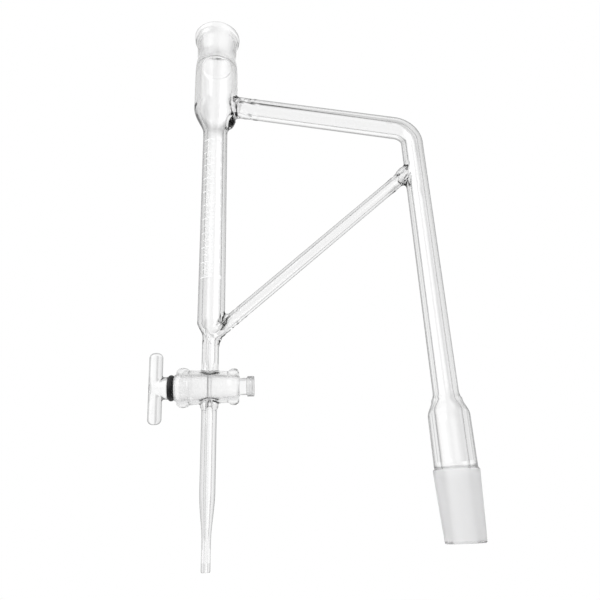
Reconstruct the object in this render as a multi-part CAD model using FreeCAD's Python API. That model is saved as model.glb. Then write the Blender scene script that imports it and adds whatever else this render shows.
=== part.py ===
import FreeCAD, Part
import math
import os

# Clevenger apparatus for essential oils, flame worked from clear borosilicate glass.
# The frame's origin is the centre of the flask cone's wide end.
# +Z runs up the vapour leg, +X points from the measuring column to the leg. Sizes are in mm.

# Ground joints, size 24/29, which narrow by one part in ten
joint_diameter = 24.0
joint_length = 29.0
joint_taper = 0.1

# Vapour leg with its flask cone and the wider tube that carries the cone
cone_length = 35.0
cone_wall = 2.9
cone_lip = 0.8
cone_shoulder = 1.2
carrier_diameter = 22.4
carrier_wall = 3.8
carrier_top = 29.0
leg_diameter = 14.0
tube_wall = 2.85
leg_seal_height = 37.8
leg_seal_bulge = 0.7
leg_seal_rise = 3.2
elbow_corner_height = 216.8
elbow_radius = 14.0
arm_slope = 14.75

# Measuring column: socket, bulb, graduated tube and stem
column_spacing = 130.4
rim_top = 312.7
rim_bead = 2.1
rim_reach = 16.25
rim_flare = 10.5
mouth_chamfer = 0.6
neck_radius = 14.1
neck_foot_radius = 13.6
neck_foot = 289.0
bulb_radius = 14.8
bulb_wall = 3.1
bulb_shoulder = 279.0
bulb_foot = 249.5
hollow_drop = 2.0
measure_radius = 8.1
measure_bore_radius = 5.65
measure_top = 227.5
measure_foot = 92.5
stem_radius = 4.85
stem_bore_radius = 2.6
stem_top = 82.5
stem_bore_rise = 1.5

# Return tube from the foot of the measuring tube to the leg
return_radius = 4.05
return_bore_radius = 2.55
return_column_height = 80.2
return_leg_height = 188.3

# Stopcock barrel with a rounded flange at each end, lying nearly along X. It was sealed on
# a few degrees round the column, so its right end lies behind the plane of the tubes.
cock_height = 50.9
barrel_turn = 7.0
barrel_left = 18.3
barrel_right = 16.5
barrel_bore_right = 5.95
barrel_body_left = 9.7
barrel_body_right = 8.9
flange_left = 11.2
flange_left_width = 7.2
flange_left_crown = 3.4
flange_left_round = 2.6
flange_right = 10.3
flange_right_width = 6.0
flange_right_crown = 3.0
flange_right_round = 2.0
port_reach = 10.5
port_taper = 3.0

# Ground key in the barrel, with its button and its T-shaped handle, a few degrees off
# fully open
key_turn = 7.0
key_clearance = 0.05
key_bore_radius = 1.3
plug_left_reach = 1.2
plug_right_reach = 0.4
plug_chamfer = 0.8
key_neck_radius = 4.8
key_neck_end = 21.1
button_radius = 5.75
button_end = 25.2
button_chamfer = 0.6
head_radius = 6.4
head_end_radius = 4.0
head_edge = 0.3
handle_radius = 4.3
handle_length = 40.0
handle_offset = 30.6
handle_end_round = 3.0

# Rubber ring in the groove of the key
ring_section = 2.1
ring_chamfer = 1.2
ring_outer_radius = 7.65
ring_offset = 21.6
ring_stretch = 0.1

# Jet below the stopcock
collar_radius = 5.6
collar_drop = 1.6
collar_cone = 1.2
jet_radius = 4.2
jet_bore_radius = 2.0
jet_taper_top = -5.0
jet_middle_radius = 2.95
jet_tip_radius = 2.4
jet_tip_bore_radius = 1.0
jet_tip_top = -30.0
jet_lip = 0.7
jet_end = -43.8

# Weld fillets where tubes are sealed together
arm_weld = 3.0
return_weld = 2.2
small_weld = 1.0

# How far a cutting shape runs past the face that it opens
overrun = 0.01

column_x = -column_spacing
elbow_turn = math.radians(90.0 - arm_slope)
elbow_reach = elbow_radius * math.tan(elbow_turn / 2.0)
arm_column_height = elbow_corner_height + column_spacing * math.tan(math.radians(arm_slope))
joint_radius = joint_diameter / 2.0
radius_taper = joint_taper / 2.0
up = FreeCAD.Vector(0, 0, 1)
down = FreeCAD.Vector(0, 0, -1)


def point(radius, height):
    return FreeCAD.Vector(radius, 0, height)


def line(start, end):
    return Part.makeLine(start, end)


def arc(start, middle, end):
    return Part.Arc(start, middle, end).toShape()


def blend(points, first_direction, last_direction):
    """A smooth curve through a few points that leaves and arrives in given directions."""
    curve = Part.BSplineCurve()
    curve.interpolate(Points=points, InitialTangent=first_direction, FinalTangent=last_direction)
    return curve.toShape()


def drawn(start, end):
    """The S shape that a heated tube takes when it is drawn from one radius to another."""
    return blend([start, (start + end) * 0.5, end], down, down)


def turned(edges):
    """Turns an outline once round the Z axis, closed to the axis at both its ends."""
    first = edges[0].valueAt(edges[0].FirstParameter)
    last = edges[-1].valueAt(edges[-1].LastParameter)
    top = point(0, first.z)
    bottom = point(0, last.z)
    closed = [line(top, first)] + edges + [line(last, bottom), line(bottom, top)]
    face = Part.Face(Part.Wire(closed))
    return face.revolve(FreeCAD.Vector(0, 0, 0), up, 360.0)


def moved_to_column(shape):
    shape.translate(FreeCAD.Vector(column_x, 0, 0))
    return shape


def laid_down(shape):
    """Lays a shape turned round Z down along X, its top end to the right."""
    shape.rotate(FreeCAD.Vector(0, 0, 0), FreeCAD.Vector(0, 1, 0), 90.0)
    return shape


def set_at_cock(shape):
    """Moves a shape that lies along X round the origin to the stopcock and its turn."""
    shape.rotate(FreeCAD.Vector(0, 0, 0), up, barrel_turn)
    shape.translate(FreeCAD.Vector(column_x, 0, cock_height))
    return shape


def column_outside():
    """Socket rim, neck, bulb, measuring tube and stem, down into the barrel."""
    bead = rim_reach - rim_bead
    bead_height = rim_top - rim_bead
    half = rim_bead * math.sqrt(0.5)
    bead_side = point(rim_reach, bead_height)
    neck_top = point(neck_radius, rim_top - rim_flare)
    neck_bottom = point(neck_foot_radius, neck_foot)
    shoulder_end = point(bulb_radius, bulb_shoulder)
    bulb_end = point(bulb_radius, bulb_foot)
    measure_start = point(measure_radius, measure_top)
    measure_end = point(measure_radius, measure_foot)
    stem_start = point(stem_radius, stem_top)
    edges = [
        arc(point(bead, rim_top), point(bead + half, bead_height + half), bead_side),
        drawn(bead_side, neck_top),
        line(neck_top, neck_bottom),
        blend([neck_bottom, shoulder_end], point(1, -1), down),
        line(shoulder_end, bulb_end),
        drawn(bulb_end, measure_start),
        line(measure_start, measure_end),
        drawn(measure_end, stem_start),
        line(stem_start, point(stem_radius, cock_height)),
    ]
    return moved_to_column(turned(edges))


def column_inside():
    """The ground socket, the bulb's hollow, the measuring bore and the stem's bore."""
    mouth = point(joint_radius + mouth_chamfer, rim_top + overrun)
    bore_top = point(joint_radius - radius_taper * mouth_chamfer, rim_top - mouth_chamfer)
    bore_end = point(joint_radius - radius_taper * joint_length, rim_top - joint_length)
    hollow_top = point(bulb_radius - bulb_wall, bulb_shoulder - hollow_drop)
    hollow_end = point(bulb_radius - bulb_wall, bulb_foot)
    bore_start = point(measure_bore_radius, measure_top)
    bore_foot = point(measure_bore_radius, measure_foot)
    stem_start = point(stem_bore_radius, stem_top + stem_bore_rise)
    stem_end = point(stem_bore_radius, cock_height + port_reach + port_taper)
    port_start = point(key_bore_radius, cock_height + port_reach)
    edges = [
        line(mouth, bore_top),
        line(bore_top, bore_end),
        blend([bore_end, hollow_top], point(1, -1.5), down),
        line(hollow_top, hollow_end),
        line(hollow_end, bore_start),
        line(bore_start, bore_foot),
        line(bore_foot, stem_start),
        line(stem_start, stem_end),
        line(stem_end, port_start),
        line(port_start, point(key_bore_radius, cock_height)),
    ]
    return moved_to_column(turned(edges))


def jet_outside():
    """Collar, jet tube and the drawn tip with its narrowed end."""
    collar_foot = cock_height - barrel_body_left - collar_drop
    taper_start = point(jet_radius, jet_taper_top)
    taper_middle = point(jet_middle_radius, (jet_taper_top + jet_tip_top) / 2.0)
    tip_start = point(jet_tip_radius, jet_tip_top)
    tip_end = point(jet_tip_radius, jet_end + jet_lip)
    edges = [
        line(point(collar_radius, cock_height), point(collar_radius, collar_foot)),
        line(point(collar_radius, collar_foot), point(jet_radius, collar_foot - collar_cone)),
        line(point(jet_radius, collar_foot - collar_cone), taper_start),
        line(taper_start, taper_middle),
        line(taper_middle, tip_start),
        line(tip_start, tip_end),
        line(tip_end, point(jet_tip_radius - jet_lip, jet_end)),
    ]
    return moved_to_column(turned(edges))


def jet_inside():
    port_end = point(key_bore_radius, cock_height - port_reach)
    bore_start = point(jet_bore_radius, cock_height - port_reach - port_taper)
    bore_end = point(jet_bore_radius, jet_taper_top)
    tip_start = point(jet_tip_bore_radius, jet_tip_top)
    edges = [
        line(point(key_bore_radius, cock_height), port_end),
        line(port_end, bore_start),
        line(bore_start, bore_end),
        line(bore_end, tip_start),
        line(tip_start, point(jet_tip_bore_radius, jet_end - overrun)),
    ]
    return moved_to_column(turned(edges))


def bent_arm(radius):
    """The side arm from the column's axis and its elbow, down to the leg."""
    slope = math.radians(arm_slope)
    along = FreeCAD.Vector(math.cos(slope), 0, -math.sin(slope))
    corner = FreeCAD.Vector(0, 0, elbow_corner_height)
    start = FreeCAD.Vector(column_x, 0, arm_column_height)
    bend_start = corner - along * elbow_reach
    bend_end = corner - up * elbow_reach
    centre = bend_end - FreeCAD.Vector(elbow_radius, 0, 0)
    outward = corner - centre
    outward.normalize()
    bend_middle = centre + outward * elbow_radius
    path = Part.Wire([line(start, bend_start), arc(bend_start, bend_middle, bend_end)])
    ring = Part.Wire(Part.makeCircle(radius, start, along))
    return path.makePipeShell([ring], True, False)


def leg_outside():
    """The straight leg, its flare, the cone carrier and the ground cone."""
    radius = leg_diameter / 2.0
    carrier = carrier_diameter / 2.0
    top = point(radius, elbow_corner_height - elbow_reach)
    flare_start = point(radius, leg_seal_height + leg_seal_rise)
    seal = point(radius + leg_seal_bulge, leg_seal_height)
    flare_end = point(carrier, carrier_top)
    carrier_end = point(carrier, cone_shoulder)
    cone_start = point(joint_radius, 0)
    cone_end = point(joint_radius - radius_taper * (cone_length - cone_lip), cone_lip - cone_length)
    edges = [
        line(top, flare_start),
        blend([flare_start, seal], down, point(0.6, -1)),
        blend([seal, flare_end], point(0.9, -1), down),
        line(flare_end, carrier_end),
        line(carrier_end, cone_start),
        line(cone_start, cone_end),
        line(cone_end, point(cone_end.x - cone_lip, -cone_length)),
    ]
    return turned(edges)


def leg_inside():
    radius = leg_diameter / 2.0 - tube_wall
    carrier = carrier_diameter / 2.0 - carrier_wall
    top = point(radius, elbow_corner_height - elbow_reach)
    flare_start = point(radius, leg_seal_height + tube_wall)
    flare_end = point(carrier, carrier_top)
    carrier_end = point(carrier, -tube_wall)
    cone_radius = joint_radius - cone_wall - radius_taper * cone_length
    edges = [
        line(top, flare_start),
        line(flare_start, flare_end),
        line(flare_end, carrier_end),
        line(carrier_end, point(cone_radius, -cone_length - overrun)),
    ]
    return turned(edges)


def return_tube(radius):
    """A straight tube from the column's axis, at its foot, up to the leg's axis."""
    start = FreeCAD.Vector(column_x, 0, return_column_height)
    end = FreeCAD.Vector(0, 0, return_leg_height)
    along = end - start
    length = along.Length
    along.normalize()
    return Part.makeCylinder(radius, length, start, along)


def barrel_bore_radius(along):
    return barrel_bore_right + radius_taper * (barrel_right - along)


def barrel_outside():
    """The stopcock barrel, with a rounded flange at each end. Heights here run along it."""
    face_right = point(flange_right - flange_right_round, barrel_right)
    crown_right = point(flange_right, barrel_right - flange_right_crown)
    groove_right = point(barrel_body_right, barrel_right - flange_right_width)
    groove_left = point(barrel_body_left, flange_left_width - barrel_left)
    crown_left = point(flange_left, flange_left_crown - barrel_left)
    face_left = point(flange_left - flange_left_round, -barrel_left)
    edges = [
        blend([face_right, crown_right], point(1, 0), down),
        blend([crown_right, groove_right], down, point(-0.6, -1)),
        line(groove_right, groove_left),
        blend([groove_left, crown_left], point(0.6, -1), down),
        blend([crown_left, face_left], down, point(-1, 0)),
    ]
    return set_at_cock(laid_down(turned(edges)))


def barrel_inside():
    length = barrel_left + barrel_right + 2.0 * overrun
    wide = barrel_bore_radius(-barrel_left - overrun)
    narrow = barrel_bore_radius(barrel_right + overrun)
    bore = Part.makeCone(wide, narrow, length, point(0, -barrel_left - overrun), up)
    return set_at_cock(laid_down(bore))


def on_surface(shape, spot):
    skin = Part.Compound(shape.Faces)
    return skin.distToShape(Part.Vertex(spot))[0] < 0.001


def welded(base, branch, radius):
    """Fuses a branch to a base and rounds the seam between them."""
    joined = base.fuse(branch).removeSplitter()
    seam = []
    for edge in joined.Edges:
        middle = edge.valueAt((edge.FirstParameter + edge.LastParameter) / 2.0)
        if on_surface(base, middle) and on_surface(branch, middle):
            seam.append(edge)
    return joined.makeFillet(radius, seam)


def glass_body():
    """Everything that is sealed into one piece of glass."""
    arm_and_leg = bent_arm(leg_diameter / 2.0).fuse(leg_outside()).removeSplitter()
    outside = welded(column_outside(), arm_and_leg, arm_weld)
    outside = welded(outside, return_tube(return_radius), return_weld)
    outside = welded(outside, barrel_outside(), small_weld)
    outside = welded(outside, jet_outside(), small_weld)
    hollow = bent_arm(leg_diameter / 2.0 - tube_wall).fuse([leg_inside(), column_inside()])
    bores = [return_tube(return_bore_radius), barrel_inside(), jet_inside()]
    return outside.cut(hollow.fuse(bores)).removeSplitter()


def handle_bar():
    """The solid cross bar of the handle, rounded at both ends, for a key along X."""
    foot = point(-handle_offset, -handle_length / 2.0)
    bar = Part.makeCylinder(handle_radius, handle_length, foot, up)
    ends = [edge for edge in bar.Edges if edge.Curve.TypeId == "Part::GeomCircle"]
    return bar.makeFillet(handle_end_round, ends)


def stopcock_key():
    """The ground plug with its cross bore, its button and its T-shaped handle."""
    groove = ring_outer_radius - 2.0 * ring_section + ring_stretch
    groove_start = -ring_offset - ring_section
    plug_start = -barrel_left - plug_left_reach
    plug_end = barrel_right + plug_right_reach
    plug_wide = barrel_bore_radius(plug_start + plug_chamfer) - key_clearance
    plug_narrow = barrel_bore_radius(plug_end) - key_clearance
    corners = [
        point(button_radius - button_chamfer, button_end),
        point(button_radius, button_end - button_chamfer),
        point(button_radius, key_neck_end),
        point(key_neck_radius, key_neck_end),
        point(key_neck_radius, plug_end),
        point(plug_narrow, plug_end),
        point(plug_wide, plug_start + plug_chamfer),
        point(plug_wide - plug_chamfer, plug_start),
        point(groove, plug_start),
        point(groove, groove_start),
        point(head_radius, groove_start - head_edge),
        point(head_end_radius, -handle_offset),
    ]
    edges = [line(first, second) for first, second in zip(corners, corners[1:])]
    stem = laid_down(turned(edges))
    bore = Part.makeCylinder(key_bore_radius, 2.0 * barrel_body_left, point(0, -barrel_body_left), up)
    key = handle_bar().fuse(stem).removeSplitter().cut(bore)
    key.rotate(FreeCAD.Vector(0, 0, 0), FreeCAD.Vector(1, 0, 0), key_turn)
    return set_at_cock(key)


def rubber_ring():
    """A ring of rubber with chamfered edges, stretched into the key's groove."""
    inner = ring_outer_radius - 2.0 * ring_section
    left = -ring_offset - ring_section
    right = -ring_offset + ring_section
    corners = [
        point(inner, right - ring_chamfer),
        point(inner + ring_chamfer, right),
        point(ring_outer_radius - ring_chamfer, right),
        point(ring_outer_radius, right - ring_chamfer),
        point(ring_outer_radius, left + ring_chamfer),
        point(ring_outer_radius - ring_chamfer, left),
        point(inner + ring_chamfer, left),
        point(inner, left + ring_chamfer),
    ]
    face = Part.Face(Part.makePolygon(corners + corners[:1]))
    return set_at_cock(laid_down(face.revolve(FreeCAD.Vector(0, 0, 0), up, 360.0)))


os.makedirs("parts", exist_ok=True)
pieces = {
    "glass_body": glass_body(),
    "stopcock_key": stopcock_key(),
    "rubber_ring": rubber_ring(),
}
for name, shape in pieces.items():
    solid = shape.Solids[0]
    print(name, len(shape.Solids), round(solid.Volume), solid.isValid())
    solid.exportStep("parts/" + name + ".step")
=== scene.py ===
import math

import bmesh
import bpy
import numpy as np
from mathutils import Matrix, Vector


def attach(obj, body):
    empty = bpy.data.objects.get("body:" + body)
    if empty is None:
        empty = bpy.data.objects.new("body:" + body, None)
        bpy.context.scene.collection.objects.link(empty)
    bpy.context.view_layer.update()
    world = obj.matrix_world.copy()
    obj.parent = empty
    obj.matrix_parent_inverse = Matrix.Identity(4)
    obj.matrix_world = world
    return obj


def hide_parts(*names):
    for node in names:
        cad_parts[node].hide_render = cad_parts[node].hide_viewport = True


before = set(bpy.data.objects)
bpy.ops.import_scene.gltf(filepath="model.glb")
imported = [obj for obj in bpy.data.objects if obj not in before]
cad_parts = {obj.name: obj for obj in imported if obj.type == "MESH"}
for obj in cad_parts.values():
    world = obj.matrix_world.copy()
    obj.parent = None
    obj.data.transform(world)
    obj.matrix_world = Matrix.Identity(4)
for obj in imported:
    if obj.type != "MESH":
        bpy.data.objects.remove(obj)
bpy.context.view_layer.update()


# Glass body
# One piece of clear borosilicate glass: the column from socket to jet, the side arm bent down
# into the vapour leg, and the thin return tube. The tubes are drawn and bent in a flame and
# melted into each other, so every seam is a soft, slightly uneven weld. Its sizes are in mm.
column_x = -130.4
bulb_radius = 14.8
bulb_bore = 11.7
tube_radius = 8.1
tube_bore = 5.65
stem_radius = 4.85
stem_bore = 2.6
passage = 1.3
cock_z = 50.9
barrel_turn = math.radians(7.0)
leg_radius = 7.0
leg_bore = 4.15
return_radius = 4.05
return_bore = 2.55
arm_tilt = math.radians(14.75)
elbow_corner = 216.8
elbow_radius = 14.0
arm_along = np.array([math.cos(arm_tilt), 0.0, -math.sin(arm_tilt)])
arm_start = np.array([column_x, 0.0, elbow_corner - column_x * math.tan(arm_tilt)])
return_start = np.array([column_x, 0.0, 80.2])
return_end = np.array([0.0, 0.0, 188.3])
return_along = (return_end - return_start) / np.linalg.norm(return_end - return_start)


def s_curve(first, last, count=12):
    """The outline of a heated tube that was drawn from one radius to another."""
    share = np.linspace(0.0, 1.0, count)[1:]
    ease = share * share * (3.0 - 2.0 * share)
    width = last[0] - first[0]
    rise = last[1] - first[1]
    return [(first[0] + width * e, first[1] + rise * s) for s, e in zip(share, ease)]


def quarter(centre, radius, start, end, count=8):
    """A round stretch of an outline, from one angle to another, in degrees."""
    angles = np.radians(np.linspace(start, end, count))
    return [(centre[0] + radius * math.cos(a), centre[1] + radius * math.sin(a)) for a in angles]


def evened(outline, zones, coarse=5.0, fine=0.7):
    """More rings on an outline: close together near the welds, wide apart elsewhere."""
    result = [outline[0]]
    for (r0, z0), (r1, z1) in zip(outline, outline[1:]):
        low, high = min(z0, z1), max(z0, z1)
        cuts = sorted({low, high} | {c for zone in zones for c in zone if low < c < high})
        heights = []
        for a, b in zip(cuts, cuts[1:]):
            inside = any(zone[0] <= (a + b) / 2.0 <= zone[1] for zone in zones)
            steps = max(1, math.ceil((b - a) / (fine if inside else coarse)))
            heights += [a + (b - a) * i / steps for i in range(steps)]
        heights = heights[1:]
        if z1 < z0:
            heights = heights[::-1]
        for z in heights:
            result.append((r0 + (r1 - r0) * (z - z0) / (z1 - z0), z))
        result.append((r1, z1))
    return result


def ring_solid(name, centres, directions, radii, around=96):
    """A closed solid through round rings whose centre line lies in the plane y = 0."""
    directions = np.asarray(directions, float)
    side = np.cross(np.array([0.0, 1.0, 0.0]), directions)
    side /= np.linalg.norm(side, axis=1)[:, None]
    turn = np.linspace(0.0, 2.0 * math.pi, around, endpoint=False)
    spokes = np.cos(turn)[None, :, None] * side[:, None, :]
    spokes = spokes + np.sin(turn)[None, :, None] * np.array([0.0, 1.0, 0.0])
    points = np.asarray(centres, float)[:, None, :] + np.asarray(radii, float)[:, None, None] * spokes
    faces = []
    for ring in range(len(points) - 1):
        for k in range(around):
            after = (k + 1) % around
            low = ring * around
            high = low + around
            faces.append((low + k, low + after, high + after, high + k))
    last = (len(points) - 1) * around
    faces.append(tuple(range(around))[::-1])
    faces.append(tuple(range(last, last + around)))
    mesh = bpy.data.meshes.new(name)
    mesh.from_pydata(points.reshape(-1, 3).tolist(), [], faces)
    work = bmesh.new()
    work.from_mesh(mesh)
    bmesh.ops.recalc_face_normals(work, faces=work.faces)
    work.to_mesh(mesh)
    work.free()
    solid = bpy.data.objects.new(name, mesh)
    bpy.context.scene.collection.objects.link(solid)
    return solid


def turned_on_z(name, x, outline, around=96):
    centres = [(x, 0.0, z) for r, z in outline]
    return ring_solid(name, centres, [(0.0, 0.0, 1.0)] * len(outline), [r for r, z in outline], around)


def turned_on_x(name, outline, around=96):
    """Lies along X round the origin, as the stopcock's pieces are made: (radius, place along)."""
    centres = [(s, 0.0, 0.0) for r, s in outline]
    return ring_solid(name, centres, [(1.0, 0.0, 0.0)] * len(outline), [r for r, s in outline], around)


def set_at_cock(solid):
    """The stopcock was sealed on a few degrees round the column, its right end at the back."""
    place = Matrix.Translation((column_x, 0.0, cock_z)) @ Matrix.Rotation(barrel_turn, 4, "Z")
    solid.data.transform(place)
    return solid


def melted(first, others, operation):
    """Joins or cuts solids, takes the result as a plain mesh and removes the tools."""
    cap_area = 30.0
    for other in others:
        step = first.modifiers.new("step", "BOOLEAN")
        step.operation = operation
        step.solver = "EXACT"
        step.object = other
    shape = first.evaluated_get(bpy.context.evaluated_depsgraph_get())
    mesh = bpy.data.meshes.new_from_object(shape)
    first.modifiers.clear()
    first.data = mesh
    for other in others:
        bpy.data.objects.remove(other)
    work = bmesh.new()
    work.from_mesh(mesh)
    many_sided = [f for f in work.faces if len(f.verts) > 4 and f.calc_area() < cap_area]
    bmesh.ops.triangulate(work, faces=many_sided)
    work.to_mesh(mesh)
    work.free()
    return first


def off_axis(points, start, along, radius):
    """Distance from the skin of an endless straight tube."""
    offset = points - start
    offset = offset - (offset @ along)[:, None] * along
    return np.linalg.norm(offset, axis=1) - radius


def off_turned(points, outline):
    """Distance from the skin of a shape turned round the column's axis."""
    heights = np.array([z for r, z in outline])
    radii = np.array([r for r, z in outline])
    order = np.argsort(heights, kind="stable")
    skin = np.interp(points[:, 2], heights[order], radii[order])
    step = 0.05
    ahead = np.interp(points[:, 2] + step, heights[order], radii[order])
    slope = (ahead - skin) / step
    return (np.hypot(points[:, 0] - column_x, points[:, 1]) - skin) / np.sqrt(1.0 + slope * slope)


def off_turned_on_x(points, outline):
    """Distance from the skin of a shape turned round X."""
    places = np.array([s for r, s in outline])
    radii = np.array([r for r, s in outline])
    order = np.argsort(places, kind="stable")
    skin = np.interp(points[:, 0], places[order], radii[order])
    return np.hypot(points[:, 1], points[:, 2]) - skin


def off_barrel(points, outline):
    """The same for the barrel in its place on the column."""
    x = (points[:, 0] - column_x) * math.cos(barrel_turn) + points[:, 1] * math.sin(barrel_turn)
    y = points[:, 1] * math.cos(barrel_turn) - (points[:, 0] - column_x) * math.sin(barrel_turn)
    return off_turned_on_x(np.stack([x, y, points[:, 2] - cock_z], 1), outline)


def meeting(a, b, size):
    """Melts two distances into one, with a soft hollow of about that size in the seam."""
    share = np.clip(0.5 + 0.5 * (b - a) / size, 0.0, 1.0)
    return b + (a - b) * share - size * share * (1.0 - share)


def settle(solid, centre, reach, skin, rounds=14):
    """Draws the vertices round a seam onto the melted skin and evens out their spacing."""
    mesh = solid.data
    count = len(mesh.vertices)
    flat = np.zeros(count * 3)
    mesh.vertices.foreach_get("co", flat)
    points = flat.reshape(-1, 3)
    pairs = np.zeros(len(mesh.edges) * 2, int)
    mesh.edges.foreach_get("vertices", pairs)
    pairs = pairs.reshape(-1, 2)
    away = np.linalg.norm(points - np.asarray(centre), axis=1)
    near = np.nonzero(away < reach)[0]
    held = np.clip((reach - away[near]) / 2.0, 0.0, 1.0)[:, None]
    inside = np.zeros(count, bool)
    inside[near] = True
    pairs = pairs[inside[pairs[:, 0]] | inside[pairs[:, 1]]]
    step = 0.02
    for round_number in range(rounds):
        total = np.zeros((count, 3))
        degree = np.zeros(count)
        for a, b in ((0, 1), (1, 0)):
            np.add.at(total, pairs[:, a], points[pairs[:, b]])
            np.add.at(degree, pairs[:, a], 1.0)
        if round_number < rounds - 3:
            mean = total[near] / degree[near][:, None]
            points[near] += 0.5 * held * (mean - points[near])
        for repeat in range(2):
            here = points[near]
            value = skin(here)
            slope = np.stack([skin(here + step * axis) - value for axis in np.eye(3)], 1) / step
            size = np.maximum((slope * slope).sum(1), 0.05)
            shift = np.clip(value / size, -0.6, 0.6)[:, None] * slope
            points[near] = here - held * shift
    mesh.vertices.foreach_set("co", points.ravel())
    mesh.update()


def uneven(points, amount, seed):
    """Slow waves that make a hand-made weld a little lumpy."""
    phase = points * 0.9 + seed
    first = np.sin(phase[:, 0] * 1.3 + phase[:, 2])
    second = np.sin(phase[:, 1] * 1.7 - phase[:, 2] * 0.6)
    return amount * (first * second)


column_skin = evened(
    [(14.15, 312.7)]
    + quarter((14.15, 310.6), 2.1, 90.0, 0.0, 9)[1:]
    + s_curve((16.25, 310.6), (14.1, 302.2))
    + [(13.6, 289.0), (13.95, 287.8), (14.35, 285.9), (14.65, 283.2)]
    + [(bulb_radius, 279.0), (bulb_radius, 247.0)]
    + s_curve((bulb_radius, 247.0), (tube_radius, 226.0), 22)
    + [(tube_radius, 89.8)]
    + s_curve((tube_radius, 89.8), (stem_radius, 81.0), 12)
    + [(stem_radius, 50.9), (5.1, 50.89), (5.1, 40.3), (4.95, 39.4), (4.5, 38.4), (4.25, 37.6)]
    + [(4.2, -5.0)]
    + s_curve((4.2, -5.0), (2.4, -30.0), 22)
    + [(2.4, -43.1), (2.3, -43.5), (2.05, -43.74), (1.7, -43.8)],
    [(223.0, 262.0), (72.0, 102.0), (56.0, 66.0), (34.0, 47.0)],
)
column_hollow = evened(
    [(13.5, 312.71), (12.9, 312.45), (12.35, 311.8), (12.05, 311.0), (11.89, 310.3)]
    + [(10.55, 283.7), (10.65, 283.45), (11.15, 283.1), (11.4, 282.5), (11.6, 280.8)]
    + [(bulb_bore, 278.0), (bulb_bore, 247.0)]
    + s_curve((bulb_bore, 247.0), (tube_bore, 226.0), 22)
    + [(tube_bore, 89.8)]
    + s_curve((tube_bore, 89.8), (stem_bore, 81.5), 12)
    + [(stem_bore, 66.4), (2.3, 64.4), (1.6, 60.9), (passage, 59.4), (passage, 42.4), (1.6, 39.9)]
    + [(2.0, 36.4), (2.0, -5.0), (1.0, -30.0), (1.0, -43.81)],
    [(238.0, 258.0), (76.0, 98.0)],
)


def bent_arm(radius, tail, name, fine):
    """The side arm, its elbow and the leg, with the leg's lower outline as a tail."""
    turn = math.pi / 2.0 - arm_tilt
    reach = elbow_radius * math.tan(turn / 2.0)
    corner = np.array([0.0, 0.0, elbow_corner])
    bend_start = corner - arm_along * reach
    length = np.linalg.norm(bend_start - arm_start)
    weld_end = 36.0
    places = list(np.arange(0.0, weld_end, fine)) + list(np.linspace(weld_end, length, 18))
    centres = [arm_start + arm_along * s for s in places]
    directions = [arm_along] * len(centres)
    radii = [radius] * len(centres)
    middle = corner - np.array([elbow_radius, 0.0, reach])
    for a in np.linspace(0.0, turn, 26)[1:]:
        heading = arm_tilt + a
        outward = np.array([math.sin(heading), 0.0, math.cos(heading)])
        centres.append(middle + elbow_radius * outward)
        directions.append(np.array([math.cos(heading), 0.0, -math.sin(heading)]))
        # bending stretches the outer wall, so the tube is a touch narrower in the bend
        radii.append(radius * (1.0 - 0.035 * math.sin(math.pi * a / turn)))
    for r, z in tail:
        centres.append(np.array([0.0, 0.0, z]))
        directions.append(np.array([0.0, 0.0, -1.0]))
        radii.append(r)
    return ring_solid(name, centres, directions, radii)


leg_zone = [(174.0, 196.0)]
leg_skin = evened(
    [(leg_radius, 205.5), (leg_radius, 41.0), (7.25, 39.2), (7.7, 37.8), (8.3, 37.0)]
    + s_curve((8.3, 37.0), (11.2, 28.0), 12)
    + [(11.2, 1.2), (11.5, 0.6), (11.9, 0.2), (12.0, -0.2)]
    + [(10.3, -34.2), (10.15, -34.7), (9.8, -34.95), (9.5, -35.0)],
    leg_zone,
)
leg_hollow = evened(
    [(leg_bore, 205.5), (leg_bore, 40.65)]
    + s_curve((leg_bore, 40.65), (7.4, 29.0), 14)
    + [(7.4, -2.85), (7.35, -35.01)],
    leg_zone,
)
barrel_skin = evened(
    [(8.6, -18.3), (9.9, -17.9), (10.8, -16.9), (11.15, -15.6), (11.2, -14.9)]
    + [(11.1, -13.8), (10.7, -12.5), (10.1, -11.5), (9.75, -11.05), (9.7, -10.6)]
    + [(8.9, 10.0), (8.95, 10.5), (9.35, 11.0), (9.9, 11.9), (10.25, 12.8)]
    + [(10.3, 13.5), (10.2, 14.8), (9.6, 15.9), (8.9, 16.4), (8.3, 16.5)],
    [(-8.5, 8.5)],
    2.5,
)


def bore_at(place):
    """Radius of the ground barrel's taper, one part in ten, at a place along X."""
    return 5.95 + 0.05 * (16.5 - place)


glass = turned_on_z("glass_vessel", column_x, column_skin)
arm = bent_arm(leg_radius, leg_skin, "arm", 0.7)
length = np.linalg.norm(return_end - return_start)
places = list(np.arange(0.0, 24.0, 0.6))
places += list(np.arange(24.0, length - 16.0, 5.0)) + list(np.arange(length - 16.0, length, 0.6))
centres = [return_start + return_along * s for s in places]
directions = [return_along] * len(places)
sloping = ring_solid("sloping", centres, directions, [return_radius] * len(places), 72)
barrel = set_at_cock(turned_on_x("barrel", barrel_skin))
melted(glass, [arm, sloping, barrel], "UNION")

drip = np.array([-119.6, 0.0, 234.6])
drip_radius = 3.1
bead = return_end - return_along * 10.0
bead_radius = 5.0


def arm_weld(p):
    size = 3.6 + uneven(p, 0.9, 1.0)
    tube = off_axis(p, arm_start, arm_along, leg_radius + uneven(p, 0.16, 4.0))
    skin = meeting(off_turned(p, column_skin), tube, size)
    lump = np.linalg.norm((p - drip) * np.array([1.0, 0.8, 0.75]), axis=1) - drip_radius
    return meeting(skin, lump, 2.6)


def foot_weld(p):
    size = 4.2 + uneven(p, 0.6, 2.0)
    tube = off_axis(p, return_start, return_along, return_radius + uneven(p, 0.14, 2.5))
    return meeting(off_turned(p, column_skin), tube, size)


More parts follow.
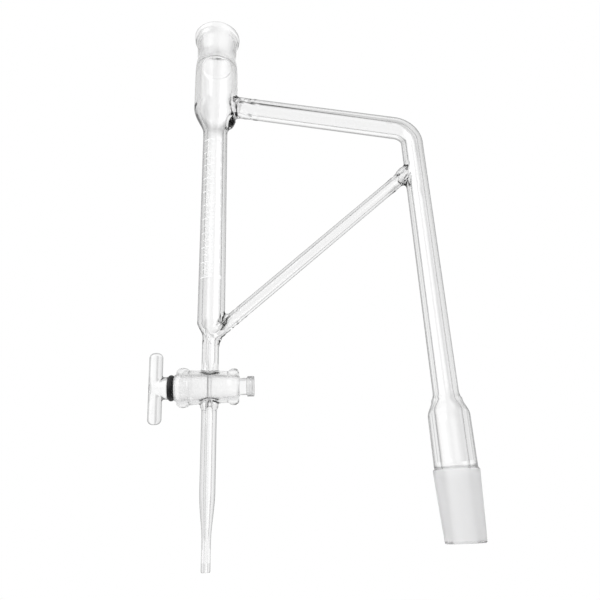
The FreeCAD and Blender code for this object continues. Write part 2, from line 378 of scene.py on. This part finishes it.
def leg_weld(p):
    leg = off_axis(p, np.zeros(3), np.array([0.0, 0.0, 1.0]), leg_radius)
    size = 2.6 + uneven(p, 0.6, 3.0)
    lump = np.linalg.norm((p - bead) * np.array([1.0, 0.95, 0.9]), axis=1) - bead_radius
    tube = off_axis(p, return_start, return_along, return_radius + uneven(p, 0.3, 3.5))
    return meeting(leg, meeting(tube, lump, 2.2), size)


def barrel_weld(p):
    return meeting(off_barrel(p, barrel_skin), off_turned(p, column_skin), 1.3)


settle(glass, (-115.0, 0.0, 245.0), 17.0, arm_weld)
settle(glass, (-121.0, 0.0, 86.5), 14.0, foot_weld)
settle(glass, (-8.5, 0.0, 181.6), 13.0, leg_weld)
settle(glass, (column_x, 0.0, 60.4), 8.0, barrel_weld)
settle(glass, (column_x, 0.0, 41.4), 7.6, barrel_weld)

hollow = turned_on_z("hollow", column_x, column_hollow)
arm_hollow = bent_arm(leg_bore, leg_hollow, "arm_hollow", 0.7)
sloping_hollow = ring_solid("sloping_hollow", centres, directions, [return_bore] * len(places), 64)
bore_outline = [(bore_at(s), s) for s in (-18.31, -9.0, 0.0, 9.0, 16.51)]
bore = set_at_cock(turned_on_x("bore", bore_outline))
melted(hollow, [arm_hollow, sloping_hollow, bore], "UNION")


def arm_mouth(p):
    tube = off_axis(p, arm_start, arm_along, leg_bore)
    return meeting(off_turned(p, column_hollow), tube, 1.6)


def foot_mouth(p):
    tube = off_axis(p, return_start, return_along, return_bore)
    return meeting(off_turned(p, column_hollow), tube, 1.8)


def leg_mouth(p):
    leg = off_axis(p, np.zeros(3), np.array([0.0, 0.0, 1.0]), leg_bore)
    return meeting(leg, off_axis(p, return_start, return_along, return_bore), 1.0)


settle(hollow, (-118.0, 0.0, 247.0), 10.0, arm_mouth)
settle(hollow, (-125.0, 0.0, 86.0), 7.5, foot_mouth)
settle(hollow, (-4.2, 0.0, 184.7), 6.5, leg_mouth)
melted(glass, [hollow], "DIFFERENCE")


def finish_mesh(solid, sharp=38.0):
    """From mm to metres, doubles merged, smooth except where an edge is really sharp."""
    same = 0.004
    mesh = solid.data
    work = bmesh.new()
    work.from_mesh(mesh)
    bmesh.ops.remove_doubles(work, verts=work.verts, dist=same)
    bmesh.ops.dissolve_degenerate(work, edges=work.edges, dist=same)
    bmesh.ops.transform(work, matrix=Matrix.Scale(0.001, 4), verts=work.verts)
    bmesh.ops.recalc_face_normals(work, faces=work.faces)
    work.to_mesh(mesh)
    open_edges = sum(1 for e in work.edges if not e.is_manifold)
    work.free()
    mesh.polygons.foreach_set("use_smooth", [True] * len(mesh.polygons))
    mesh.set_sharp_from_angle(angle=math.radians(sharp))
    mesh.materials.clear()
    print("mesh", solid.name, len(mesh.polygons), "faces", open_edges, "open edges")


finish_mesh(glass)


class Field:
    """A shader socket that takes part in plain arithmetic, and makes the nodes it needs."""

    def __init__(self, tree, socket=None):
        self.tree = tree
        self.socket = socket

    def node(self, kind, settings=None, inputs=None, output=0):
        """Adds a node: first its settings, then a value or a link for each named input."""
        made = self.tree.nodes.new(kind)
        for key, value in (settings or {}).items():
            setattr(made, key, value)
        for key, value in (inputs or {}).items():
            if isinstance(value, Field):
                self.tree.links.new(value.socket, made.inputs[key])
            else:
                made.inputs[key].default_value = value
        return Field(self.tree, made.outputs[output] if len(made.outputs) else None)

    def math(self, operation, *values):
        return self.node("ShaderNodeMath", {"operation": operation}, dict(enumerate(values)))

    def axes(self):
        return [self.node("ShaderNodeSeparateXYZ", None, {0: self}, axis) for axis in range(3)]

    def step(self, low, high):
        """0 below low, 1 above high, with a soft passage between; high may be below low."""
        settings = {"interpolation_type": "SMOOTHSTEP"}
        if high < low:
            return 1.0 - self.step(high, low)
        limits = {"Value": self, "From Min": low, "From Max": high}
        return self.node("ShaderNodeMapRange", settings, limits)

    def tint(self, low, high):
        """A colour between two colours, by this value."""
        settings = {"data_type": "RGBA"}
        return self.node("ShaderNodeMix", settings, {0: self, 6: low, 7: high}, 2)

    def __add__(self, other):
        return self.math("ADD", self, other)

    def __radd__(self, other):
        return self.math("ADD", other, self)

    def __sub__(self, other):
        return self.math("SUBTRACT", self, other)

    def __rsub__(self, other):
        return self.math("SUBTRACT", other, self)

    def __mul__(self, other):
        return self.math("MULTIPLY", self, other)

    def __rmul__(self, other):
        return self.math("MULTIPLY", other, self)


def new_material(name):
    material = bpy.data.materials.new(name)
    material.use_nodes = True
    material.node_tree.nodes.clear()
    return material, Field(material.node_tree)


def mm_places(field):
    """Object coordinates, as a vector in m and as three numbers in mm."""
    place = field.node("ShaderNodeTexCoord", None, None, 3)
    return place, [axis * 1000.0 for axis in place.axes()]


def draw_lines(field, place, along, height):
    """The faint lengthways lines and slow waves that drawn tubing has, as a bump."""

    def vector(operation, values, output=0):
        return field.node("ShaderNodeVectorMath", {"operation": operation}, values, output)

    run = vector("DOT_PRODUCT", {0: place, 1: along}, 1)
    lengthways = vector("SCALE", {0: along, "Scale": run * 0.97})
    squeezed = vector("SUBTRACT", {0: place, 1: lengthways})
    waves = {"Vector": squeezed, "Scale": 520.0, "Detail": 2.0, "Roughness": 0.5}
    lines = field.node("ShaderNodeTexNoise", None, waves)
    return field.node("ShaderNodeBump", None, {"Height": lines, "Strength": 1.0, "Distance": height})


def glass_surface(field, normal, edge_shade_lift, grounds):
    """Clear glass with painted shade, its colour turning grey towards its edges, and ground glass where
    a mask is 1.

    Each ground finish is a mask, a grey face-on and a darker one at the edge, which is painted shade,
    a roughness, how much of the light passes, and a painted glow: a little white emission that lightens
    it.
    """
    # clear glass: white face-on, painted shade down to 0.14 grey at the edge, no painted glow
    clear = (None, 1.0, 0.14, 0.0, 1.0, 0.0)
    facing = field.node("ShaderNodeLayerWeight", None, {"Blend": 0.5}, 1)
    # painted shade: the colour greys at grazing angles in place of the dark edges that refraction
    # gives, weakened where the lift mask is high
    edge = facing.step(0.3, 0.8) * (1.0 - edge_shade_lift)
    surface = None
    for mask, centre, rim, roughness, through, glow in [clear] + grounds:
        finish = {
            "Base Color": edge.tint((centre, centre, centre, 1.0), (rim, rim, rim, 1.0)),
            "Roughness": roughness,
            "IOR": 1.474,
            "Transmission Weight": through,
            # painted glow: a finish can emit a little white light of its own, though it is no lamp
            "Emission Color": (1.0, 1.0, 1.0, 1.0),
            "Emission Strength": glow,
            "Normal": normal,
        }
        shader = field.node("ShaderNodeBsdfPrincipled", None, finish)
        if surface:
            shader = field.node("ShaderNodeMixShader", None, {0: mask, 1: surface, 2: shader})
        surface = shader
    field.node("ShaderNodeOutputMaterial", None, {"Surface": surface})


clear_glass, f = new_material("drawn_borosilicate")
place, (x, y, z) = mm_places(f)
from_column = f.math("SQRT", (x - column_x) * (x - column_x) + y * y)
from_leg = f.math("SQRT", x * x + y * y)
across = y * math.cos(barrel_turn) - (x - column_x) * math.sin(barrel_turn)
along_barrel = (x - column_x) * math.cos(barrel_turn) + y * math.sin(barrel_turn)
from_bore = f.math("SQRT", (z - cock_z) * (z - cock_z) + across * across)
in_socket = from_column.step(12.55, 12.35) * z.step(283.6, 283.9) * z.step(310.5, 310.2)
on_cone = (from_leg - z * 0.05).step(11.6, 11.8) * from_leg.step(14.0, 13.0)
on_cone = on_cone * z.step(-34.1, -33.8) * z.step(0.1, -0.3)
in_barrel = from_bore.step(8.3, 8.1)
in_barrel = in_barrel * along_barrel.step(-18.4, -18.2) * along_barrel.step(16.6, 16.4)
dry_ground = f.math("MAXIMUM", in_socket, on_cone)
ground = f.math("MAXIMUM", dry_ground, in_barrel)
on_arm = x.step(-118.0, -116.0) * x.step(-12.0, -15.0) * z.step(204.0, 206.0)
return_slope = float((return_end[2] - return_start[2]) / (return_end[0] - return_start[0]))
off_return = f.math("ABSOLUTE", (x - column_x) * return_slope + float(return_start[2]) - z)
on_return = x.step(-123.0, -121.0) * x.step(-8.0, -10.0) * off_return.step(7.0, 6.0)
upright = f.node("ShaderNodeCombineXYZ", None, {"Z": 1.0})
vectors = {"data_type": "VECTOR"}
direction = f.node("ShaderNodeMix", vectors, {0: on_arm, 4: upright, 5: tuple(arm_along)}, 1)
direction = f.node("ShaderNodeMix", vectors, {0: on_return, 4: direction, 5: tuple(return_along)}, 1)
lines = draw_lines(f, place, direction, 0.00003)
grain = f.node("ShaderNodeTexNoise", None, {"Vector": place, "Scale": 6000.0, "Detail": 2.0})
grit = {"Height": grain * ground, "Strength": 0.2, "Distance": 0.00002, "Normal": lines}
grit = f.node("ShaderNodeBump", None, grit)
# Less painted edge shade round the stopcock and the top of the column, so the glass there is paler.
near_cock = f.math("ABSOLUTE", along_barrel).step(21.0, 19.0)
near_cock = near_cock * f.math("ABSOLUTE", z - cock_z).step(14.0, 12.0)
near_top = from_column.step(17.5, 16.5) * z.step(238.0, 250.0)
edge_shade_lift = f.math("MAXIMUM", near_cock * 0.75, near_top * 0.6)
# Each finish: mask, face-on grey, painted-shade grey at the edge, roughness, light passed, painted
# glow.
fine_ground = (in_socket, 1.0, 0.97, 0.3, 1.0, 0.02)
coarse_ground = (on_cone, 0.99, 0.93, 0.42, 0.7, 0.0)
greased = (in_barrel, 1.0, 1.0, 0.25, 1.0, 0.04)
glass_surface(f, grit, edge_shade_lift, [fine_ground, coarse_ground, greased])
glass.data.materials.append(clear_glass)
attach(glass, "glass")
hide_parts("glass_body")


# Graduation
# Fired-on white enamel on the front of the measuring tube: a line for each tenth of a millilitre,
# longer and bolder ones for halves and whole millilitres, and a number beside the whole ones.
scale_radius = tube_radius
scale_top = 216.0
millilitre = 10.0
line_end = math.radians(14.0)
number_middle = math.radians(40.0)
number_size = 3.8
enamel_height = 0.05
enamel, f = new_material("white_enamel")
place, (x, y, z) = mm_places(f)
worn = f.node("ShaderNodeTexNoise", None, {"Vector": place, "Scale": 900.0, "Detail": 3.0})
finish = {
    "Base Color": worn.step(0.35, 0.7).tint((0.93, 0.93, 0.92, 1.0), (0.80, 0.81, 0.81, 1.0)),
    "Roughness": worn * 0.3 + 0.3,
    "Normal": f.node("ShaderNodeBump", None, {"Height": worn, "Strength": 0.3, "Distance": 0.00003}),
    # Painted glow: the enamel emits a little white light, standing in for light that passes through it
    # from behind.
    "Emission Color": (1.0, 1.0, 1.0, 1.0),
    "Emission Strength": 0.3,
}
f.node("ShaderNodeOutputMaterial", None, {"Surface": f.node("ShaderNodeBsdfPrincipled", None, finish)})

ladder = bpy.data.node_groups.new("enamel_lines", "GeometryNodeTree")
ladder.interface.new_socket(name="Geometry", in_out="INPUT", socket_type="NodeSocketGeometry")
inputs = {"Lines": "NodeSocketInt"}
for name in ("Rise", "Lowest", "Start", "Sweep", "Radius", "Thickness"):
    inputs[name] = "NodeSocketFloat"
inputs["Enamel"] = "NodeSocketMaterial"
keys = {}
for name, kind in inputs.items():
    keys[name] = ladder.interface.new_socket(name=name, in_out="INPUT", socket_type=kind).identifier
ladder.interface.new_socket(name="Geometry", in_out="OUTPUT", socket_type="NodeSocketGeometry")
f = Field(ladder)
given = f.node("NodeGroupInput").socket.node
given = {name: Field(ladder, given.outputs[name]) for name in inputs}
foot = f.node("ShaderNodeCombineXYZ", None, {"X": column_x / 1000.0, "Z": given["Lowest"]})
rise = f.node("ShaderNodeCombineXYZ", None, {"Z": given["Rise"]})
rungs = {"Count": given["Lines"], "Start Location": foot, "Offset": rise}
rungs = f.node("GeometryNodeMeshLine", {"mode": "OFFSET"}, rungs)
bow = {"Resolution": 9, "Radius": given["Radius"]}
bow.update({"Start Angle": given["Start"], "Sweep Angle": given["Sweep"]})
bow = f.node("GeometryNodeCurveArc", {"mode": "RADIUS"}, bow)
profile = {"Resolution": 6, "Radius": given["Thickness"] * 0.5}
profile = f.node("GeometryNodeCurvePrimitiveCircle", {"mode": "RADIUS"}, profile)
bar = {"Curve": bow, "Profile Curve": profile, "Fill Caps": True}
bar = f.node("GeometryNodeCurveToMesh", None, bar)
placed = f.node("GeometryNodeInstanceOnPoints", None, {"Points": rungs, "Instance": bar})
made = f.node("GeometryNodeRealizeInstances", None, {"Geometry": placed})
made = f.node("GeometryNodeSetMaterial", None, {"Geometry": made, "Material": given["Enamel"]})
f.node("NodeGroupOutput", None, {"Geometry": made})


def enamel_lines(name, lines, rise, start):
    """One set of lines, from its start to where all the lines end beside the numbers."""
    carrier = bpy.data.objects.new(name, bpy.data.meshes.new(name))
    bpy.context.scene.collection.objects.link(carrier)
    modifier = carrier.modifiers.new("lines", "NODES")
    modifier.node_group = ladder
    values = {
        "Lines": lines,
        "Rise": rise / 1000.0,
        "Lowest": (scale_top - 10.0 * millilitre) / 1000.0,
        "Start": start - math.pi / 2.0,
        "Sweep": line_end - start,
        "Radius": scale_radius / 1000.0,
        "Thickness": 0.00026 + 0.00002 * rise,
    }
    for key, value in values.items():
        modifier[keys[key]] = value
    modifier[keys["Enamel"]] = enamel
    mesh = bpy.data.meshes.new_from_object(carrier.evaluated_get(bpy.context.evaluated_depsgraph_get()))
    bpy.data.objects.remove(carrier)
    return mesh


def joined(name, meshes):
    """One object from several meshes, with closed skins that face outwards."""
    work = bmesh.new()
    for mesh in meshes:
        work.from_mesh(mesh)
    bmesh.ops.remove_doubles(work, verts=work.verts, dist=0.000002)
    bmesh.ops.recalc_face_normals(work, faces=work.faces)
    whole = bpy.data.meshes.new(name)
    work.to_mesh(whole)
    work.free()
    whole.materials.clear()
    whole.materials.append(enamel)
    piece = bpy.data.objects.new(name, whole)
    bpy.context.scene.collection.objects.link(piece)
    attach(piece, "glass")
    return piece


tenths = enamel_lines("tenths", 101, millilitre / 10.0, math.radians(-26.0))
halves = enamel_lines("halves", 21, millilitre / 2.0, math.radians(-33.0))
wholes = enamel_lines("wholes", 11, millilitre, math.radians(-44.0))
joined("scale_lines", [tenths, halves, wholes])

numbers = []
for count in range(11):
    letters = bpy.data.curves.new("number", "FONT")
    letters.body = str(count)
    letters.align_x = "CENTER"
    letters.align_y = "CENTER"
    letters.size = number_size
    letters.extrude = 0.04
    letters.resolution_u = 3
    carrier = bpy.data.objects.new("number", letters)
    bpy.context.scene.collection.objects.link(carrier)
    mesh = bpy.data.meshes.new_from_object(carrier.evaluated_get(bpy.context.evaluated_depsgraph_get()))
    bpy.data.objects.remove(carrier)
    for vertex in mesh.vertices:
        turn = number_middle + vertex.co.x / scale_radius
        reach = scale_radius + enamel_height + vertex.co.z
        height = scale_top - count * millilitre + vertex.co.y
        bent = Vector((column_x + reach * math.sin(turn), -reach * math.cos(turn), height))
        vertex.co = bent / 1000.0
    numbers.append(mesh)
joined("scale_numbers", numbers)


# Stopcock key
# One solid piece of glass: a plug ground to the barrel's taper with a cross bore, a waist and
# a button at its small end, and a flared neck that carries the solid T-shaped handle.
# It is held in the barrel by grease and turns freely.
key_turn = math.radians(7.0)
handle_x = -30.2
handle_radius = 3.85
key_outline = [(5.15, 25.2), (5.55, 25.05), (5.75, 24.6), (5.75, 21.4), (5.6, 21.15)]
key_outline += [(5.0, 21.1), (4.8, 20.9), (4.8, 16.9), (bore_at(16.9) - 0.05, 16.89)]
key_outline += [(bore_at(-18.7) - 0.05, -18.7), (bore_at(-18.7) - 0.45, -19.3), (6.0, -19.5)]
key_outline += [(3.55, -19.51), (3.55, -23.2), (6.1, -23.25), (6.4, -23.5), (6.2, -24.9)]
key_outline += [(5.4, -26.8), (4.6, -28.2), (3.6, handle_x)]
key_outline = evened(key_outline, [(handle_x, -23.7)], 3.0, 0.5)
key = turned_on_x("tap_key", key_outline)
bar_outline = quarter((0.85, 17.0), 3.0, 90.0, 0.0, 10) + [(handle_radius, -17.0)]
bar_outline += quarter((0.85, -17.0), 3.0, 0.0, -90.0, 10)[1:]
bar = turned_on_z("bar", handle_x, evened(bar_outline, [(-11.0, 11.0)], 4.0, 0.5), 72)
melted(key, [bar], "UNION")
key_bore = turned_on_z("key_bore", 0.0, [(passage, 9.6), (passage, -9.6)], 48)
melted(key, [key_bore], "DIFFERENCE")


def handle_weld(p):
    rod = off_axis(p, np.array([handle_x, 0.0, 0.0]), np.array([0.0, 0.0, 1.0]), handle_radius)
    stem = np.maximum(off_turned_on_x(p, key_outline), handle_x - p[:, 0])
    return meeting(stem, rod, 2.2)


settle(key, (handle_x + 2.6, 0.0, 0.0), 7.4, handle_weld)
key.data.transform(Matrix.Rotation(key_turn, 4, "X"))
finish_mesh(set_at_cock(key))
key_glass, f = new_material("ground_key_glass")
place, (x, y, z) = mm_places(f)
across = y * math.cos(barrel_turn) - (x - column_x) * math.sin(barrel_turn)
along = (x - column_x) * math.cos(barrel_turn) + y * math.sin(barrel_turn)
from_axis = f.math("SQRT", (z - cock_z) * (z - cock_z) + across * across)
on_plug = from_axis.step(5.5, 5.6) * along.step(-18.9, -18.6) * along.step(16.95, 16.8)
button = along.step(20.6, 20.9) * 0.5
ground = f.math("MAXIMUM", on_plug, button)
grain = f.node("ShaderNodeTexNoise", None, {"Vector": place, "Scale": 6000.0, "Detail": 2.0})
rings = f.math("SINE", along * 7.5)
turned = {"Height": rings * button, "Strength": 1.0, "Distance": 0.00018}
turned = f.node("ShaderNodeBump", None, turned)
grit = {"Height": grain * ground, "Strength": 0.2, "Distance": 0.00002, "Normal": turned}
grit = f.node("ShaderNodeBump", None, grit)
# Less painted edge shade along the plug.
edge_shade_lift = f.math("ABSOLUTE", along).step(19.0, 17.0) * 0.8
# The greased plug has a faint painted glow, a small white emission.
greased = (on_plug, 1.0, 0.97, 0.3, 1.0, 0.04)
half_ground = (button, 0.98, 0.93, 0.3, 0.8, 0.0)
glass_surface(f, grit, edge_shade_lift, [greased, half_ground])
key.data.materials.append(key_glass)
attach(key, "key")
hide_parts("stopcock_key")


# Rubber ring
# A ring of soft black rubber, moulded round and stretched into the groove between the handle
# and the plug, where it keeps the key from sliding out. It has a faint mould line and dust.
ring_middle = 5.45
ring_thickness = 1.85
ring_place = -21.35
ring_steps = 96
rim_steps = 32
ring_outline = []
for a in np.linspace(0.0, 2.0 * math.pi, rim_steps + 1)[:-1]:
    radius = ring_middle + ring_thickness * math.cos(a)
    ring_outline.append((radius, ring_place + ring_thickness * math.sin(a)))
verts = []
faces = []
for k in range(ring_steps):
    turn = 2.0 * math.pi * k / ring_steps
    for r, s in ring_outline:
        verts.append((s, r * math.cos(turn), r * math.sin(turn)))
for k in range(ring_steps):
    here = k * rim_steps
    there = (k + 1) % ring_steps * rim_steps
    for m in range(rim_steps):
        after = (m + 1) % rim_steps
        faces.append((here + m, here + after, there + after, there + m))
ring_mesh = bpy.data.meshes.new("groove_ring")
ring_mesh.from_pydata(verts, [], faces)
ring = bpy.data.objects.new("groove_ring", ring_mesh)
bpy.context.scene.collection.objects.link(ring)
finish_mesh(set_at_cock(ring))
rubber, f = new_material("black_rubber")
place, (x, y, z) = mm_places(f)
fine = f.node("ShaderNodeTexNoise", None, {"Vector": place, "Scale": 2500.0, "Detail": 4.0})
dust = f.node("ShaderNodeTexNoise", None, {"Vector": place, "Scale": 500.0, "Detail": 3.0})
along = (x - column_x) * math.cos(barrel_turn) + y * math.sin(barrel_turn)
seam = f.math("ABSOLUTE", along - ring_place).step(0.16, 0.05)
height = fine * 0.4 + seam * 0.6
finish = {
    "Base Color": dust.step(0.45, 0.8).tint((0.006, 0.006, 0.007, 1.0), (0.022, 0.022, 0.024, 1.0)),
    "Roughness": dust * 0.25 + 0.38,
    "Normal": f.node("ShaderNodeBump", None, {"Height": height, "Strength": 0.6, "Distance": 0.00005}),
}
f.node("ShaderNodeOutputMaterial", None, {"Surface": f.node("ShaderNodeBsdfPrincipled", None, finish)})
ring.data.materials.append(rubber)
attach(ring, "key")
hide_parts("rubber_ring")


# Floor and studio
# A plain pale floor well below the glassware, which hangs by its cone, and a white surround.
# As for any glass, the white background fills the view and the studio is darker beside it; the
# unlit half of the room and the floor close by show only as reflections and through the glass.
floor_height = -0.12
reach = 6.0
white = (1.0, 1.0, 1.0, 1.0)
black = (0.0, 0.0, 0.0, 1.0)
corners = [(-reach, -reach), (reach, -reach), (reach, reach), (-reach, reach)]
corners = [(x, y, floor_height) for x, y in corners]
floor_mesh = bpy.data.meshes.new("floor")
floor_mesh.from_pydata(corners, [], [(0, 1, 2, 3)])
floor = bpy.data.objects.new("floor", floor_mesh)
bpy.context.scene.collection.objects.link(floor)
floor_paint, f = new_material("pale_floor")
place, (x, y, z) = mm_places(f)
away = f.math("SQRT", x * x + y * y)
matt = {"Base Color": (0.9, 0.9, 0.9, 1.0), "Roughness": 0.8}
matt = f.node("ShaderNodeBsdfPrincipled", None, matt)


def ray_kinds(field):
    """Three masks: what the camera sees, what is seen in or through glass, mirrored paths."""
    names = ("Is Camera Ray", "Is Glossy Ray", "Is Transmission Ray", "Glossy Depth")
    rays = [field.node("ShaderNodeLightPath", None, None, name) for name in names]
    return rays[0], field.math("MAXIMUM", rays[1], rays[2]), rays[3].step(0.4, 0.6)


direct, through, mirrored = ray_kinds(f)
unlit_front = mirrored * y.step(100.0, -50.0) * 0.85
unlit = f.math("MAXIMUM", unlit_front, away.step(900.0, 500.0) * 0.3) * through
glow = f.node("ShaderNodeEmission", None, {"Color": unlit.tint(white, black), "Strength": 1.0})
seen = f.math("MAXIMUM", direct, through) * (away.step(350.0, 650.0) * 0.55 + 0.45)
mixed = f.node("ShaderNodeMixShader", None, {0: f.math("MAXIMUM", seen, unlit), 1: matt, 2: glow})
f.node("ShaderNodeOutputMaterial", None, {"Surface": mixed})
floor_mesh.materials.append(floor_paint)

world = bpy.data.worlds.new("studio")
bpy.context.scene.world = world
world.use_nodes = True
world.node_tree.nodes.clear()
f = Field(world.node_tree)
heading = f.node("ShaderNodeTexCoord", None, None, 0)
dx, dy, dz = heading.axes()
level = f.math("SQRT", dx * dx + dy * dy + 0.0001)
degrees = 180.0 / math.pi
direct, through, mirrored = ray_kinds(f)
beside = f.math("ABSOLUTE", f.math("DIVIDE", dx, level)).step(0.28, 0.95) * 0.22
above = dz.step(0.8, 0.96) * 0.15
from_back = f.math("ARCTAN2", dx, dy) * degrees
right_gap = f.math("ABSOLUTE", from_back - 25.0).step(11.0, 2.0) * 0.3
left_gap = f.math("ABSOLUTE", from_back + 25.0).step(10.0, 2.0) * 0.3
from_front = f.math("ARCTAN2", dx, 0.0 - dy) * degrees
unlit_room = f.math("ABSOLUTE", from_front).step(34.0, 12.0) * mirrored * 0.75
dark = f.math("MINIMUM", beside + above + (right_gap + left_gap) + unlit_room, 1.0)
surround = (dark * through).tint(white, black)
seen = f.math("MAXIMUM", direct, through)
colour = seen.tint((0.85, 0.85, 0.86, 1.0), white)
multiply = {"data_type": "RGBA", "blend_type": "MULTIPLY"}
multiplied = f.node("ShaderNodeMix", multiply, {0: 1.0, 6: colour, 7: surround}, 2)
background = f.node("ShaderNodeBackground", None, {"Color": multiplied, "Strength": 1.0})
f.node("ShaderNodeOutputWorld", None, {"Surface": background})


def soft_lamp(name, place, aim, size, power):
    """A large rectangular softbox."""
    data = bpy.data.lights.new(name, "AREA")
    data.shape = "RECTANGLE"
    data.size, data.size_y = size
    data.energy = power
    lamp = bpy.data.objects.new(name, data)
    bpy.context.scene.collection.objects.link(lamp)
    lamp.location = place
    lamp.rotation_mode = "QUATERNION"
    lamp.rotation_quaternion = (Vector(aim) - Vector(place)).to_track_quat("-Z", "Y")
    return lamp


middle = (-0.06, 0.0, 0.13)
soft_lamp("key_light", (-1.0, -1.0, 0.9), middle, (1.3, 1.3), 7.0)
soft_lamp("fill_light", (1.1, -0.9, 0.4), middle, (0.9, 1.4), 3.5)


# Camera
# It stands below the middle of the glassware, close to it, and looks up at about 22 degrees,
# so the upright tubes lean towards each other and the socket is seen from below its rim.
camera_data = bpy.data.cameras.new("camera")
camera_data.sensor_width = 36.0
camera_data.lens = 34.45
camera_data.clip_start = 0.01
camera = bpy.data.objects.new("camera", camera_data)
bpy.context.scene.collection.objects.link(camera)
camera.matrix_world = Matrix(
    (
        (0.99671, 0.06194, 0.05222, -0.0597),
        (0.07178, -0.37644, -0.92366, -0.3138),
        (-0.03755, 0.92437, -0.37965, -0.0284),
        (0.0, 0.0, 0.0, 1.0),
    )
)
bpy.context.scene.camera = camera
bpy.context.scene.view_settings.view_transform = "Standard"
